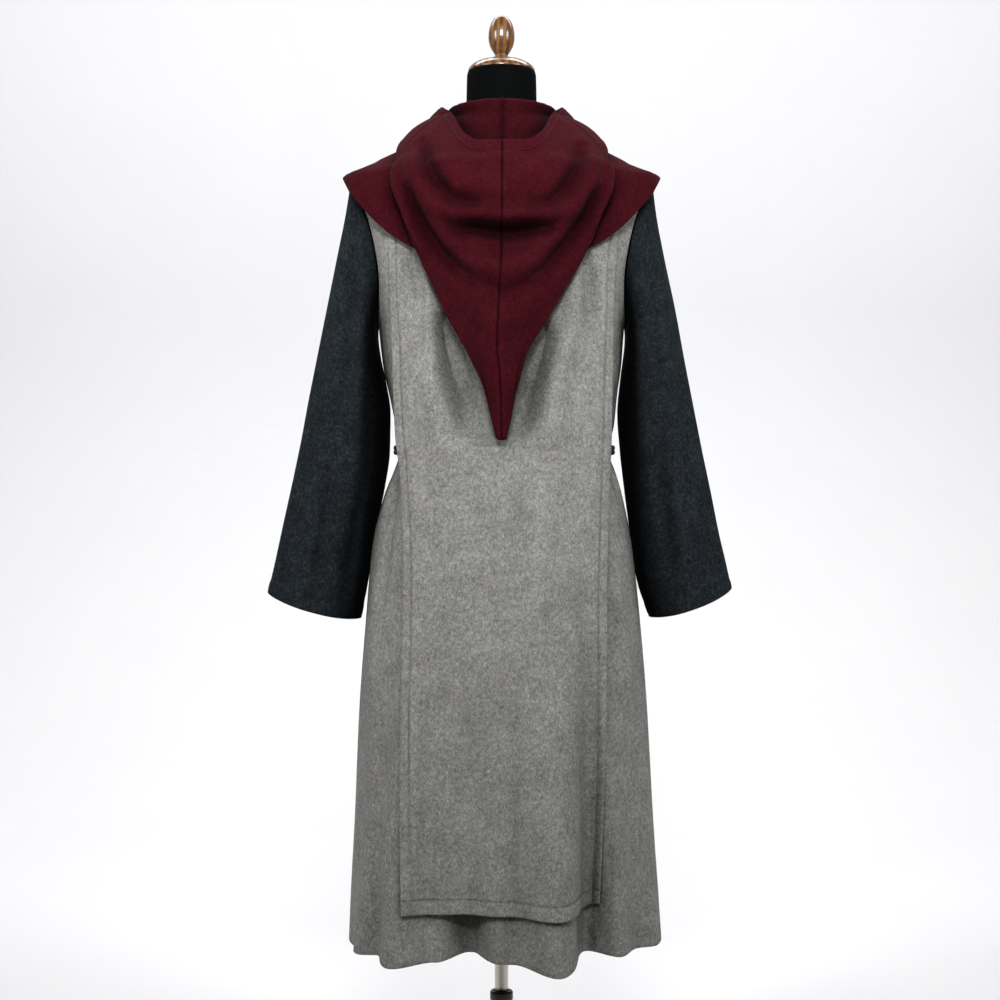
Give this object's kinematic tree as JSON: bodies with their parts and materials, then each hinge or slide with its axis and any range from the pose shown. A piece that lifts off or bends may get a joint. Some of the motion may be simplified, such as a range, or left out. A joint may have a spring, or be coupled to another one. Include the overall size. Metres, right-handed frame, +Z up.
{
  "type": "monk habit on a dress form",
  "caption": "Long wool tunic with wide sleeves, scapular, shoulder mantle, pointed hood and cord belt, worn by a limbless dress form on a telescoping pole stand.",
  "frame": {"origin": "on the floor, at the centre of the base plate's underside", "axes": "+Z up, -Y the wearer's front, +X the wearer's left"},
  "size_m": [0.764, 0.465, 1.8291],
  "materials": {
    "gray_wool": "matte",
    "charcoal_wool": "matte",
    "burgundy_wool": "matte",
    "belt_cord": "matte",
    "black_jersey": "matte",
    "wood": "satin",
    "metal": "satin",
    "dark_plastic": "satin"
  },
  "bodies": {
    "stand": {"base_plate": "metal", "outer_tube": "metal", "bush": "dark_plastic"},
    "form": {"tunic_back": "gray_wool", "tunic_front": "gray_wool", "scapular_back": "gray_wool", "scapular_front": "gray_wool", "sleeve_left": "charcoal_wool", "sleeve_right": "charcoal_wool", "mantle_left": "burgundy_wool", "mantle_right": "burgundy_wool", "hood_left": "burgundy_wool", "hood_right": "burgundy_wool", "belt": "belt_cord", "form_torso": "black_jersey", "form_cap": "wood", "form_finial": "wood", "form_board": "wood", "pole": "metal", "pole_socket": "dark_plastic"}
  },
  "joints": [
    {"name": "height_slide", "type": "slide", "parent": "stand", "child": "form", "axis": [0, 0, 1], "range_m": [0, 0.1]}
  ]
}
